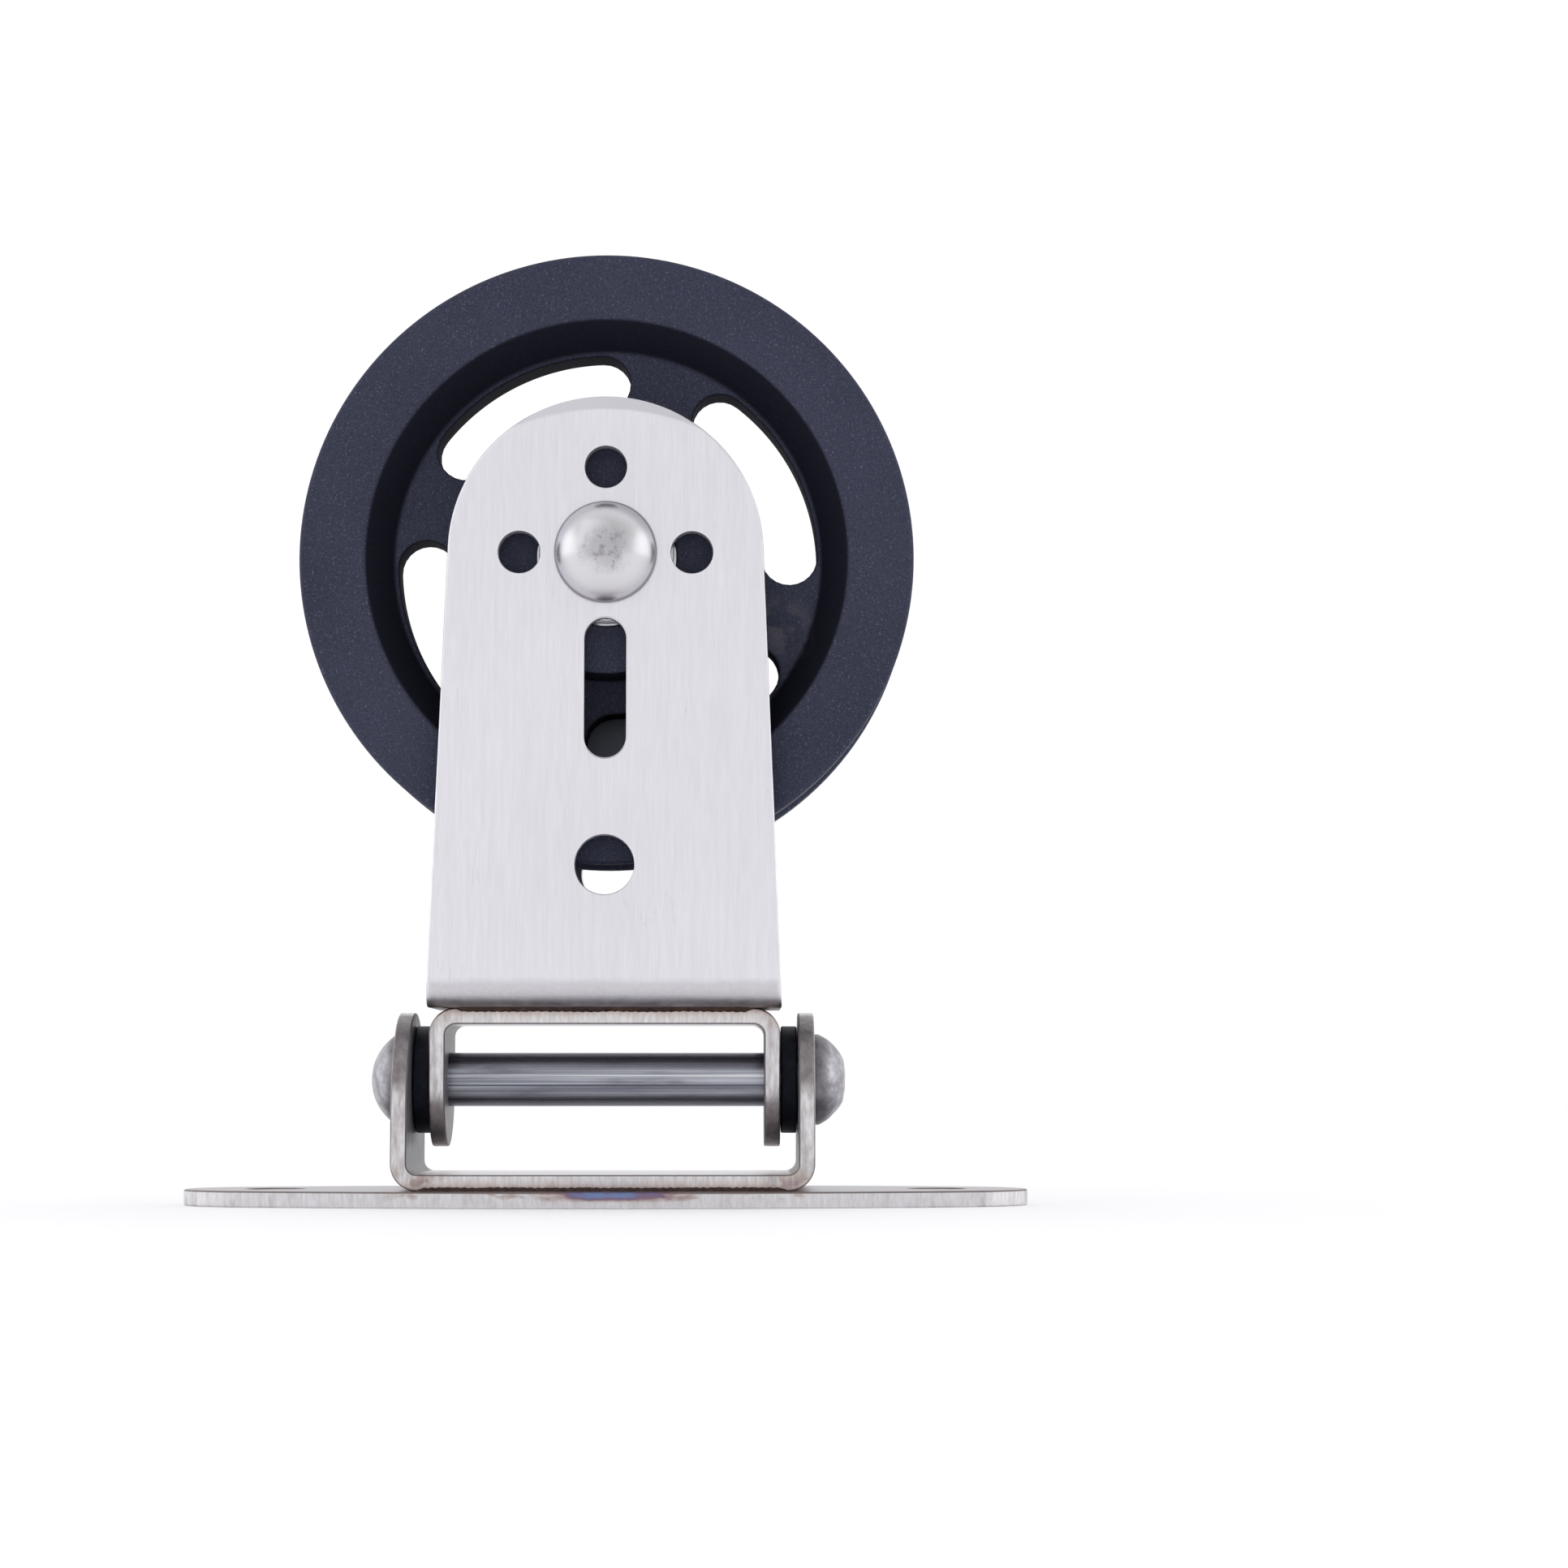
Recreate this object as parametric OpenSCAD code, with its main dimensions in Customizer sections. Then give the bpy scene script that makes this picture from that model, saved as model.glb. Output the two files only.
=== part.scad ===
// Swivelling cable pulley: a grooved wheel turns on a rivet in a bent steel fork. The fork is welded
// to a small clevis, which swings on a riveted hinge pin between the ears of a clevis on a wall plate.
// Millimetres. The origin is under the middle of the wall plate. +Z points away from the wall, +X runs
// along the plate and the hinge pin, and the wheel's axle lies along Y, with the front at -Y.

/* [Wall plate] */
// Length of the oval plate
plate_l = 158; // [140:1:200]
// Width of the plate at its middle
plate_w = 50; // [44:1:60]
// Radius of the plate's rounded ends
plate_end_r = 15; // [12:1:18]
// Thickness of the plate
plate_t = 3; // [2.5:0.5:5]
// Diameter of the two anchor holes
anchor_d = 11; // [8:0.5:13]
// Distance from each end of the plate to its anchor hole's centre
anchor_inset = 17; // [15:0.5:22]

/* [Bent sheet] */
// Thickness of the sheet in the clevises and the fork
sheet_t = 3; // [2:0.5:4]
// Outer radius of every bend
bend_r = 5; // [4.5:0.5:7]

/* [Hinge] */
// Diameter of the hinge pin
pin_d = 10; // [8:0.5:12]
// Height of the pin's centre above the outer clevis's floor
pin_rise = 17.4; // [15:0.1:24]
// Width of the inner clevis's strip, and twice the radius of its round ears
ear_w = 25; // [22:0.5:30]
// Width of the outer clevis's strip, and twice the radius of its round ears
outer_strip_w = 39; // [36:0.5:44]
// Height of the outer ears' tops above the pin's centre
outer_ear_rise = 12.5; // [11:0.5:16]
// Width of the inner clevis over its ears
inner_clevis_w = 65; // [50:0.5:80]
// Diameter of the washers between the ears
hinge_washer_d = 20; // [16:0.5:22]
// Thickness of the washers between the ears
hinge_washer_t = 3; // [1.5:0.25:4]
// Gap on each face of a hinge washer
face_gap = 0.15; // [0.1:0.05:0.3]
// Radial clearance round the hinge pin
pin_gap = 0.05; // [0.02:0.01:0.08]
// Diameter of the hinge pin's heads
pin_head_d = 17; // [15:0.5:20]
// Height of the factory-formed head, at the left
pin_dome_h = 5.3; // [4:0.1:8]
// Height of the peened head, at the right
pin_peen_h = 6.5; // [4:0.1:8]
// Height of the straight collar under the peened head
pin_peen_collar = 1; // [0.5:0.1:2]

/* [Fork] */
// Width of the fork at its bend
fork_w = 65.5; // [60:0.5:69]
// Clear gap between the fork's arms
fork_gap = 30; // [26:0.5:40]
// Radius of the arms' round tops
fork_top_r = 29.3; // [26:0.1:32]
// Height of the fork's underside above the hinge pin
saddle_rise = 13.2; // [12.8:0.1:18]
// Height of the wheel's axle above the hinge pin
axle_rise = 97.4; // [92:0.1:125]
// Diameter of the front arm's three small holes, and width of its slot
vent_d = 7.8; // [6:0.1:9]
// Distance of the three small holes from the axle
vent_offset = 16; // [15:0.5:20]
// Length of the slot over its round ends
vent_slot_l = 26; // [20:1:30]
// Distance of the slot's middle below the axle
vent_slot_drop = 25.2; // [24:0.1:30]
// Diameter of the large hole
eye_d = 11; // [8:0.5:14]
// Distance of the large hole below the axle
eye_drop = 58; // [54:0.5:62]

/* [Axle] */
// Diameter of the axle rivet
axle_d = 10; // [8:0.5:12]
// Diameter of the axle rivet's heads
axle_head_d = 19; // [16:0.5:22]
// Height of the axle rivet's heads
axle_head_h = 6; // [4:0.5:8]
// Diameter of the spacer washers
spacer_d = 25; // [18:0.5:28]
// Thickness of the spacer washers' flanges
spacer_flange_t = 2; // [1.5:0.25:2.5]
// Height of the boss that bears on the inner race
spacer_boss_t = 1; // [0.5:0.25:2]

/* [Wheel] */
// Outside diameter of the wheel
wheel_d = 115; // [108:1:150]
// Gap between the wheel's rim and each arm
rim_gap = 3; // [2:0.5:4]
// Diameter of the cable that the groove holds
cable_d = 8; // [5:0.5:9]
// Depth of the groove below the rim
groove_depth = 9.5; // [7:0.5:10]
// Width of the groove's mouth
groove_mouth = 16; // [12:0.5:17]
// Width of the rim's flat side face, from its edge inwards
rim_face = 12.2; // [11.5:0.1:14]
// Width of the sloping wall between the rim face and the web
rim_slope = 4.9; // [3:0.1:5]
// Thickness of the web
web_t = 9; // [6:0.5:11]
// Wall of the hub round the bearings
hub_wall = 9; // [6:0.5:10]
// Number of long windows in the web
window_count = 4; // [3:1:5]
// Angle that each window spans over its round ends
window_span = 67.8; // [30:0.1:69]
// Angle of the first window's middle from +X
window_start = 27; // [0:1:89]
// Web left between the hub and a window
window_hub_margin = 7; // [5:0.1:8]
// Web left between a window and the rim's slope
window_rim_margin = 0.9; // [0.5:0.1:3]

/* [Bearings] */
// Outside diameter of the ball bearings
bearing_d = 26; // [24:0.5:28]
// Width of one ball bearing
bearing_w = 8; // [7:0.5:9]
// Diameter of the balls
ball_d = 4.6; // [4:0.1:4.8]
// Number of balls in one bearing
ball_count = 7; // [5:1:8]
// Radial gap between the balls and the inner race
ball_gap = 0.1; // [0.05:0.01:0.15]
// Thickness of the shields
shield_t = 0.4; // [0.3:0.1:0.5]

/* [Welds] */
// Leg of the weld beads
weld_leg = 0.9; // [0.5:0.1:2]

/* [Hidden] */
$fn = 96;
cut = 1;                                    // how far a cutter runs past the face that it cuts
ear_gap = hinge_washer_t + 2 * face_gap;    // from an inner ear to the outer ear beside it
outer_clevis_gap = inner_clevis_w + 2 * ear_gap;
outer_clevis_w = outer_clevis_gap + 2 * sheet_t;
outer_clevis_h = sheet_t + pin_rise + outer_ear_rise;
inner_clevis_h = saddle_rise + ear_w / 2;
floor_z = plate_t + sheet_t;                // top of the outer clevis's floor
pin_z = floor_z + pin_rise;
saddle_z = pin_z + saddle_rise;             // the fork's underside, on the inner clevis
axle_z = pin_z + axle_rise;
fork_depth = fork_gap + 2 * sheet_t;        // over the two arms
fork_h = axle_z + fork_top_r - saddle_z;
plate_arc_r = (pow(plate_l / 2 - plate_end_r, 2) + pow(plate_w / 2, 2) - pow(plate_end_r, 2))
              / (plate_w - 2 * plate_end_r);    // long edges, tangent to the end rounds
anchor_x = plate_l / 2 - anchor_inset;
foot_z = saddle_z - axle_z;                 // the fork's foot, measured from the axle
foot_dist = norm([fork_w / 2, foot_z]);
side_angle = atan2(foot_z, fork_w / 2) + acos(fork_top_r / foot_dist);  // where a side meets the top arc
hub_w = fork_gap - 2 * (spacer_flange_t + spacer_boss_t);
rim_w = fork_gap - 2 * rim_gap;
hub_r = bearing_d / 2 + hub_wall;
rim_inner_r = wheel_d / 2 - rim_face;
web_r = rim_inner_r - rim_slope;
window_in_r = hub_r + window_hub_margin;
window_out_r = web_r - window_rim_margin;
window_mid_r = (window_in_r + window_out_r) / 2;
window_w = window_out_r - window_in_r;
window_arc = window_span - 2 * asin(window_w / 2 / window_mid_r);   // between the end rounds' centres
groove_r = cable_d / 2 + 0.2;
groove_base_r = wheel_d / 2 - groove_depth;
bearing_y = hub_w / 2 - bearing_w / 2;      // middle of each bearing, from the wheel's middle
ball_pitch_r = (bearing_d + axle_d) / 4;
inner_race_r = ball_pitch_r - 0.36 * ball_d;
outer_race_r = ball_pitch_r + 0.36 * ball_d;
shield_lip = 0.35;                          // how far a shield's rim sits in the outer race
shield_depth = 0.35;                        // how far a shield lies below the bearing's face
shield_gap = 0.2;                           // between a shield and the inner race
cage_t = 1.1;
cage_w = ball_d + 0.9;
tube_wall = 1.75;

// ---- shared shapes ----

// A block standing on the X axis with its two lower corners rounded
module round_foot(w, h, r) {
    translate([-w / 2 + r, 0]) square([w - 2 * r, h]);
    translate([-w / 2, r]) square([w, h - r]);
    for (side = [-1, 1]) translate([side * (w / 2 - r), r]) circle(r);
}

// A strip bent into a U, open at the top
module bent_u(w, h) {
    difference() {
        round_foot(w, h, bend_r);
        translate([0, sheet_t]) round_foot(w - 2 * sheet_t, h, bend_r - sheet_t);
    }
}

// Extrudes a shape drawn in X and Z along Y, centred on Y = 0
module along_y(depth) {
    rotate([90, 0, 0]) linear_extrude(depth, center = true) children();
}

// Extrudes a shape drawn in Y and Z along X, centred on X = 0
module along_x(length) {
    rotate([90, 0, 90]) linear_extrude(length, center = true) children();
}

// Turns something made round the Z axis onto the wheel's axle, with +Z towards the front
module on_axle() {
    translate([0, 0, axle_z]) rotate([90, 0, 0]) children();
}

// Places a bearing's pieces: side -1 is the front bearing and side 1 the rear one
module at_bearing(side) {
    on_axle() rotate([side > 0 ? 180 : 0, 0, 0]) translate([0, 0, bearing_y]) children();
}

// A domed rivet head that stands on Z = 0, over a straight collar
module dome(d, h, collar) {
    cap_h = h - collar;
    cap_r = (pow(d / 2, 2) + pow(cap_h, 2)) / (2 * cap_h);
    rotate_extrude() intersection() {
        translate([0, h - cap_r]) circle(cap_r);
        square([d / 2, h]);
    }
}

// An ear with a round top at Z = 0, on a strip that goes down from it, drawn in Y and Z
module ear_outline(width, height) {
    translate([0, -width / 2]) circle(width / 2);
    translate([-width / 2, -height]) square([width, height - width / 2]);
}

// A small straight bead with a triangular section, in the corner at the origin
module bead(length) {
    along_x(length) polygon([[0, 0], [-weld_leg, 0], [0, weld_leg]]);
}

// ---- the base: plate, outer clevis and hinge pin ----

// Two long arcs that run tangent into round ends
module plate_outline() {
    end_x = plate_l / 2 - plate_end_r;
    intersection() {
        translate([0, plate_w / 2 - plate_arc_r]) circle(plate_arc_r, $fn = 480);
        translate([0, plate_arc_r - plate_w / 2]) circle(plate_arc_r, $fn = 480);
        square([2 * end_x * plate_arc_r / (plate_arc_r - plate_end_r), plate_w], center = true);
    }
    for (side = [-1, 1]) translate([side * end_x, 0]) circle(plate_end_r);
}

module base_plate() color([0.80, 0.79, 0.82]) difference() {
    linear_extrude(plate_t) plate_outline();
    for (side = [-1, 1]) translate([side * anchor_x, 0, -cut]) cylinder(d = anchor_d, h = plate_t + 2 * cut);
}

module outer_clevis() color([0.72, 0.70, 0.73]) difference() {
    intersection() {
        translate([0, 0, plate_t]) along_y(outer_strip_w) bent_u(outer_clevis_w, outer_clevis_h);
        translate([0, 0, plate_t + outer_clevis_h]) along_x(outer_clevis_w + 2 * cut)
            ear_outline(outer_strip_w, outer_clevis_h);
    }
    translate([0, 0, pin_z]) rotate([0, 90, 0]) cylinder(d = pin_d, h = outer_clevis_w + 2 * cut, center = true);
}

module base_welds() color([0.35, 0.25, 0.20]) {
    for (turn = [0, 180]) rotate([0, 0, turn])
        translate([0, -outer_strip_w / 2, plate_t]) bead(outer_clevis_w - 2 * bend_r);
}

module hinge_pin() color([0.45, 0.46, 0.50]) translate([0, 0, pin_z]) {
    rotate([0, 90, 0]) cylinder(d = pin_d, h = outer_clevis_w, center = true);
    translate([-outer_clevis_w / 2, 0, 0]) rotate([0, -90, 0]) dome(pin_head_d, pin_dome_h, 0.6);
    translate([outer_clevis_w / 2, 0, 0]) rotate([0, 90, 0]) dome(pin_head_d, pin_peen_h, pin_peen_collar);
}

module hinge_washer(side) color([0.07, 0.07, 0.09]) {
    translate([side * (inner_clevis_w / 2 + ear_gap / 2), 0, pin_z]) rotate([0, 90, 0]) difference() {
        cylinder(d = hinge_washer_d, h = hinge_washer_t, center = true);
        cylinder(d = pin_d + 2 * pin_gap, h = hinge_washer_t + 2 * cut, center = true);
    }
}

// ---- the swinging half: inner clevis, fork and axle ----

module inner_clevis() color([0.70, 0.68, 0.71]) difference() {
    intersection() {
        translate([0, 0, saddle_z]) mirror([0, 0, 1]) along_y(ear_w) bent_u(inner_clevis_w, inner_clevis_h);
        translate([0, 0, saddle_z - inner_clevis_h]) mirror([0, 0, 1]) along_x(inner_clevis_w + 2 * cut)
            ear_outline(ear_w, inner_clevis_h);
    }
    translate([0, 0, pin_z]) rotate([0, 90, 0])
        cylinder(d = pin_d + 2 * pin_gap, h = inner_clevis_w + 2 * cut, center = true);
}

// The arm's outline, drawn in X and Z, with the axle at the origin
module arm_outline() {
    tangent = [fork_top_r * cos(side_angle), fork_top_r * sin(side_angle)];
    circle(fork_top_r);
    polygon([
        [-fork_w / 2, foot_z], [fork_w / 2, foot_z], tangent, [-tangent[0], tangent[1]]
    ]);
}

// Cutters for the three small holes and the slot, which only the front arm has
module front_vents(reach) {
    for (turn = [0, 90, 180]) rotate([0, 0, turn]) translate([vent_offset, 0, 0]) cylinder(d = vent_d, h = reach);
    translate([0, -vent_slot_drop, 0]) {
        for (side = [-1, 1]) translate([0, side * (vent_slot_l - vent_d) / 2, 0]) cylinder(d = vent_d, h = reach);
        translate([-vent_d / 2, -(vent_slot_l - vent_d) / 2, 0]) cube([vent_d, vent_slot_l - vent_d, reach]);
    }
}

module fork() color([0.86, 0.85, 0.88]) difference() {
    intersection() {
        translate([0, 0, saddle_z]) along_x(fork_w) bent_u(fork_depth, fork_h);
        translate([0, 0, axle_z]) along_y(fork_depth + 2 * cut) arm_outline();
    }
    on_axle() {
        cylinder(d = axle_d, h = fork_depth + 2 * cut, center = true);
        translate([0, -eye_drop, 0]) cylinder(d = eye_d, h = fork_depth + 2 * cut, center = true);
        front_vents(fork_depth / 2 + cut);
    }
}

module fork_welds() color([0.35, 0.25, 0.20]) {
    for (turn = [0, 180]) rotate([0, 0, turn])
        translate([0, -ear_w / 2, saddle_z]) mirror([0, 0, 1]) bead(inner_clevis_w - 2 * bend_r);
}

module axle_rivet() color([0.78, 0.77, 0.79]) on_axle() {
    cylinder(d = axle_d, h = fork_depth, center = true);
    for (side = [0, 180]) rotate([side, 0, 0]) translate([0, 0, fork_depth / 2]) dome(axle_head_d, axle_head_h, 0.5);
}

module spacer_washer(side) color([0.75, 0.75, 0.77]) {
    on_axle() rotate([side > 0 ? 180 : 0, 0, 0]) difference() {
        union() {
            translate([0, 0, fork_gap / 2 - spacer_flange_t]) cylinder(d = spacer_d, h = spacer_flange_t);
            translate([0, 0, hub_w / 2]) cylinder(r = inner_race_r, h = spacer_boss_t + spacer_flange_t / 2);
        }
        cylinder(d = axle_d, h = fork_gap / 2 + cut);
    }
}

module bearing_spacer_tube() color([0.70, 0.70, 0.72]) on_axle() {
    length = hub_w - 2 * bearing_w;
    difference() {
        cylinder(d = axle_d + 2 * tube_wall, h = length, center = true);
        cylinder(d = axle_d, h = length + 2 * cut, center = true);
    }
}

// ---- ball bearings ----

module ball_ring(r) {
    rotate_extrude() translate([ball_pitch_r, 0]) circle(r);
}

module inner_race(side) color([0.74, 0.75, 0.78]) at_bearing(side) difference() {
    cylinder(r = inner_race_r, h = bearing_w, center = true);
    cylinder(d = axle_d, h = bearing_w + 2 * cut, center = true);
    ball_ring(ball_d / 2 + ball_gap);
}

module outer_race(side) color([0.70, 0.71, 0.74]) at_bearing(side) difference() {
    cylinder(d = bearing_d, h = bearing_w, center = true);
    cylinder(r = outer_race_r, h = bearing_w + 2 * cut, center = true);
    ball_ring(ball_d / 2);
    for (face = [0, 180]) rotate([face, 0, 0]) translate([0, 0, bearing_w / 2 - shield_depth - shield_t])
        cylinder(r = outer_race_r + shield_lip, h = shield_depth + shield_t + cut);
}

module balls(side) color([0.82, 0.83, 0.86]) at_bearing(side) {
    for (i = [0 : ball_count - 1]) rotate([0, 0, i * 360 / ball_count])
        translate([ball_pitch_r, 0, 0]) sphere(d = ball_d);
}

module cage(side) color([0.63, 0.64, 0.66]) at_bearing(side) difference() {
    cylinder(r = ball_pitch_r + cage_t / 2, h = cage_w, center = true);
    cylinder(r = ball_pitch_r - cage_t / 2, h = cage_w + 2 * cut, center = true);
    for (i = [0 : ball_count - 1]) rotate([0, 90, i * 360 / ball_count])
        cylinder(d = ball_d, h = ball_pitch_r + cage_t);
}

// A shield at a bearing's outer face (face 1) or inner face (face -1)
module shield(side, face) color([0.60, 0.61, 0.64]) at_bearing(side) {
    translate([0, 0, face * (bearing_w / 2 - shield_depth - shield_t / 2)]) difference() {
        cylinder(r = outer_race_r + shield_lip, h = shield_t, center = true);
        cylinder(r = inner_race_r + shield_gap, h = shield_t + 2 * cut, center = true);
    }
}

// ---- the wheel ----

// Half of the wheel's section, drawn with the radius along X and the wheel's width along Y
module sheave_section() {
    flare = (groove_mouth / 2 - groove_r) / (groove_depth - groove_r);
    mouth = groove_mouth / 2 + cut * flare;
    difference() {
        union() {
            translate([0, -web_t / 2]) square([groove_base_r, web_t]);
            translate([0, -hub_w / 2]) square([hub_r, hub_w]);
            polygon([
                [web_r, -web_t / 2], [rim_inner_r, -rim_w / 2], [wheel_d / 2, -rim_w / 2],
                [wheel_d / 2, rim_w / 2], [rim_inner_r, rim_w / 2], [web_r, web_t / 2]
            ]);
        }
        translate([groove_base_r + groove_r, 0]) circle(groove_r);
        polygon([
            [groove_base_r + groove_r, -groove_r], [wheel_d / 2 + cut, -mouth],
            [wheel_d / 2 + cut, mouth], [groove_base_r + groove_r, groove_r]
        ]);
    }
}

// One window with round ends, as a cutter through the web
module web_window() {
    rotate([0, 0, -window_arc / 2]) rotate_extrude(angle = window_arc)
        translate([window_in_r, -web_t / 2 - cut]) square([window_w, web_t + 2 * cut]);
    for (end = [-1, 1]) rotate([0, 0, end * window_arc / 2]) translate([window_mid_r, 0, 0])
        cylinder(d = window_w, h = web_t + 2 * cut, center = true);
}

module sheave() color([0.10, 0.10, 0.13]) on_axle() difference() {
    rotate_extrude() sheave_section();
    cylinder(r = outer_race_r, h = hub_w + 2 * cut, center = true);
    for (face = [0, 180]) rotate([face, 0, 0]) translate([0, 0, hub_w / 2 - bearing_w])
        cylinder(d = bearing_d, h = bearing_w + cut);
    for (i = [0 : window_count - 1]) rotate([0, 0, window_start + i * 360 / window_count]) web_window();
}

base_plate();
outer_clevis();
base_welds();
hinge_pin();
hinge_washer(-1);  // hinge_washer_left
hinge_washer(1);  // hinge_washer_right
inner_clevis();
fork();
fork_welds();
axle_rivet();
spacer_washer(-1);  // front_spacer_washer
spacer_washer(1);  // rear_spacer_washer
bearing_spacer_tube();
inner_race(-1);  // front_inner_race
inner_race(1);  // rear_inner_race
sheave();
outer_race(-1);  // front_outer_race
outer_race(1);  // rear_outer_race
balls(-1);  // front_balls
balls(1);  // rear_balls
cage(-1);  // front_cage
cage(1);  // rear_cage
shield(-1, 1);  // front_outer_shield
shield(-1, -1);  // front_inner_shield
shield(1, 1);  // rear_outer_shield
shield(1, -1);  // rear_inner_shield
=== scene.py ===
# %% [markdown]
# # A swivelling cable pulley
# A black nylon wheel with a cable groove turns on a rivet between the arms of a bent stainless fork. The fork
# is welded to a small upside-down clevis, and that clevis swings on a riveted pin between the ears of a wider
# clevis, which is welded to an oval wall plate. The frame holds every part at its real size, in metres, and
# this lesson gives the parts their visible shape, edges and finish.

import math
import bpy
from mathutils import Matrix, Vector, noise


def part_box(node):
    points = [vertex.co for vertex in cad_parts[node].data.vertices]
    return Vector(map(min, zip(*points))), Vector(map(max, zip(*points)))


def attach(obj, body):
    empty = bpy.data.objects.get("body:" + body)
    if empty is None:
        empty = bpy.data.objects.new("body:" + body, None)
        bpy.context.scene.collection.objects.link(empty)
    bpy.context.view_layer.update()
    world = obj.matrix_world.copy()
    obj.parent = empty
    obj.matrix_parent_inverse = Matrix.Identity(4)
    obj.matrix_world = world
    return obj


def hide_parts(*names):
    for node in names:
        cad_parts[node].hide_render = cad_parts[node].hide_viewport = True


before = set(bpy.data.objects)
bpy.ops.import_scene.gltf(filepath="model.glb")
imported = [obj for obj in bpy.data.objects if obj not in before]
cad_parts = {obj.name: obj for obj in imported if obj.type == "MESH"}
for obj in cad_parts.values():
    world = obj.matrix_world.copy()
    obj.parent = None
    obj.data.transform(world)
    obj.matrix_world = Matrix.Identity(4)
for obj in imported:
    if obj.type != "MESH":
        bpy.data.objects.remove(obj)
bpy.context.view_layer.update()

# %% [markdown]
# ## Measures
# Every place comes from the boxes of the frame's parts, so a new shape always lands on its part. The few
# extra numbers below are what a box can't tell: sheet thickness, bend radius, holes and the wheel's section.

# %% Measures from the frame
MM = 0.001
plate_low, plate_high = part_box("base_plate")
outer_low, outer_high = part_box("outer_clevis")
inner_low, inner_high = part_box("inner_clevis")
fork_low, fork_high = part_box("fork")
pin_low, pin_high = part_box("hinge_pin")
axle_low, axle_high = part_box("axle_rivet")
wheel_low, wheel_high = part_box("sheave")
pin_z = (pin_low.z + pin_high.z) / 2
axle_z = (axle_low.z + axle_high.z) / 2
axle_centre = Vector((0, 0, axle_z))
pin_centre = Vector((0, 0, pin_z))
wheel_radius = (wheel_high.x - wheel_low.x) / 2
hub_half = wheel_high.y

# %% Measures that the boxes don't hold
sheet = 3 * MM
bend = 5 * MM
pin_radius = 5 * MM
fork_top_radius = fork_high.z - axle_z
vent_radius = 3.9 * MM
vent_offset = 16 * MM
vent_slot_ends = (-16.1 * MM, -34.3 * MM)
eye_radius = 5.5 * MM
eye_drop = 58 * MM
anchor_radius = 5.5 * MM
anchor_x = plate_high.x - 17 * MM
plate_end_radius = 15 * MM
edge_roll = 0.35 * MM      # how far drilling and deburring round a sheet's edges
plate_roll = 0.4 * MM
rivet_fit = 0.05 * MM      # room round the pin
dub_radius = 44.5 * MM     # the arc that the belt left at the fork's top
dub_drop = 2.4 * MM        # how far that arc's top lies under the fork's top
PER_MM = 1000.0
print("pin at", round(pin_z, 4), "axle at", round(axle_z, 4), "wheel radius", round(wheel_radius, 4))

# %% [markdown]
# ## Small tools
# The same few moves come back in every piece: add a primitive, pick some of its faces or edges by place,
# apply a modifier, cut one shape with another. Each is a short function, so that the pieces read like steps
# at a bench.

# %% Select, pick and apply
def select_only(obj):
    bpy.ops.object.select_all(action="DESELECT")
    obj.select_set(True)
    bpy.context.view_layer.objects.active = obj


def pick(obj, kind, test):
    """Goes into edit mode with only the vertices, edges or faces selected whose points pass the test."""
    select_only(obj)
    bpy.ops.object.mode_set(mode="EDIT")
    bpy.ops.mesh.select_mode(type=kind)
    bpy.ops.mesh.select_all(action="DESELECT")
    bpy.ops.object.mode_set(mode="OBJECT")
    mesh = obj.data
    if kind == "VERT":
        for vertex in mesh.vertices:
            vertex.select = test([vertex.co])
    else:
        for part in mesh.edges if kind == "EDGE" else mesh.polygons:
            part.select = test([mesh.vertices[i].co for i in part.vertices])
    bpy.ops.object.mode_set(mode="EDIT")


def edit_done():
    bpy.ops.object.mode_set(mode="OBJECT")


def apply_modifier(obj, kind, **settings):
    select_only(obj)
    modifier = obj.modifiers.new(kind, kind)
    for key, value in settings.items():
        setattr(modifier, key, value)
    bpy.ops.object.modifier_apply(modifier=modifier.name)


def cut(obj, cutter, operation="DIFFERENCE"):
    """Cuts obj with another object, or keeps only what both hold, and deletes the cutter."""
    apply_modifier(obj, "BOOLEAN", operation=operation, object=cutter, solver="MANIFOLD")
    bpy.data.objects.remove(cutter)


def merge_and_face_out(obj):
    select_only(obj)
    bpy.ops.object.mode_set(mode="EDIT")
    bpy.ops.mesh.select_all(action="SELECT")
    bpy.ops.mesh.remove_doubles(threshold=0.002 * MM)
    bpy.ops.mesh.normals_make_consistent(inside=False)
    edit_done()


def join(obj, *others):
    select_only(obj)
    for other in others:
        other.select_set(True)
    bpy.ops.object.join()
    return obj


# %% Shapes to start from
def block(name, low, high):
    bpy.ops.object.select_all(action="DESELECT")
    bpy.ops.mesh.primitive_cube_add(size=1, location=(Vector(low) + Vector(high)) / 2)
    obj = bpy.context.object
    obj.name = name
    obj.scale = Vector(high) - Vector(low)
    bpy.ops.object.transform_apply(location=True, rotation=True, scale=True)
    return obj


def arc(centre, radius, start, end, count):
    """Points along an arc in a plane, from one angle to another in degrees."""
    angles = [math.radians(start + (end - start) * i / count) for i in range(count + 1)]
    return [(centre[0] + radius * math.cos(a), centre[1] + radius * math.sin(a)) for a in angles]


def slab(name, outline, place, thickness):
    """A flat shape drawn by its outline, set in space by place(u, v) and thickened by a vector."""
    bpy.ops.object.select_all(action="DESELECT")
    bpy.ops.mesh.primitive_circle_add(vertices=len(outline), radius=1, fill_type="NGON")
    obj = bpy.context.object
    obj.name = name
    for vertex, point in zip(obj.data.vertices, outline):
        vertex.co = place(*point)
    bpy.ops.object.mode_set(mode="EDIT")
    bpy.ops.mesh.select_all(action="SELECT")
    bpy.ops.mesh.extrude_region_move(TRANSFORM_OT_translate={"value": thickness})
    bpy.ops.mesh.select_all(action="SELECT")
    bpy.ops.mesh.normals_make_consistent(inside=False)
    edit_done()
    return obj


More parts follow.
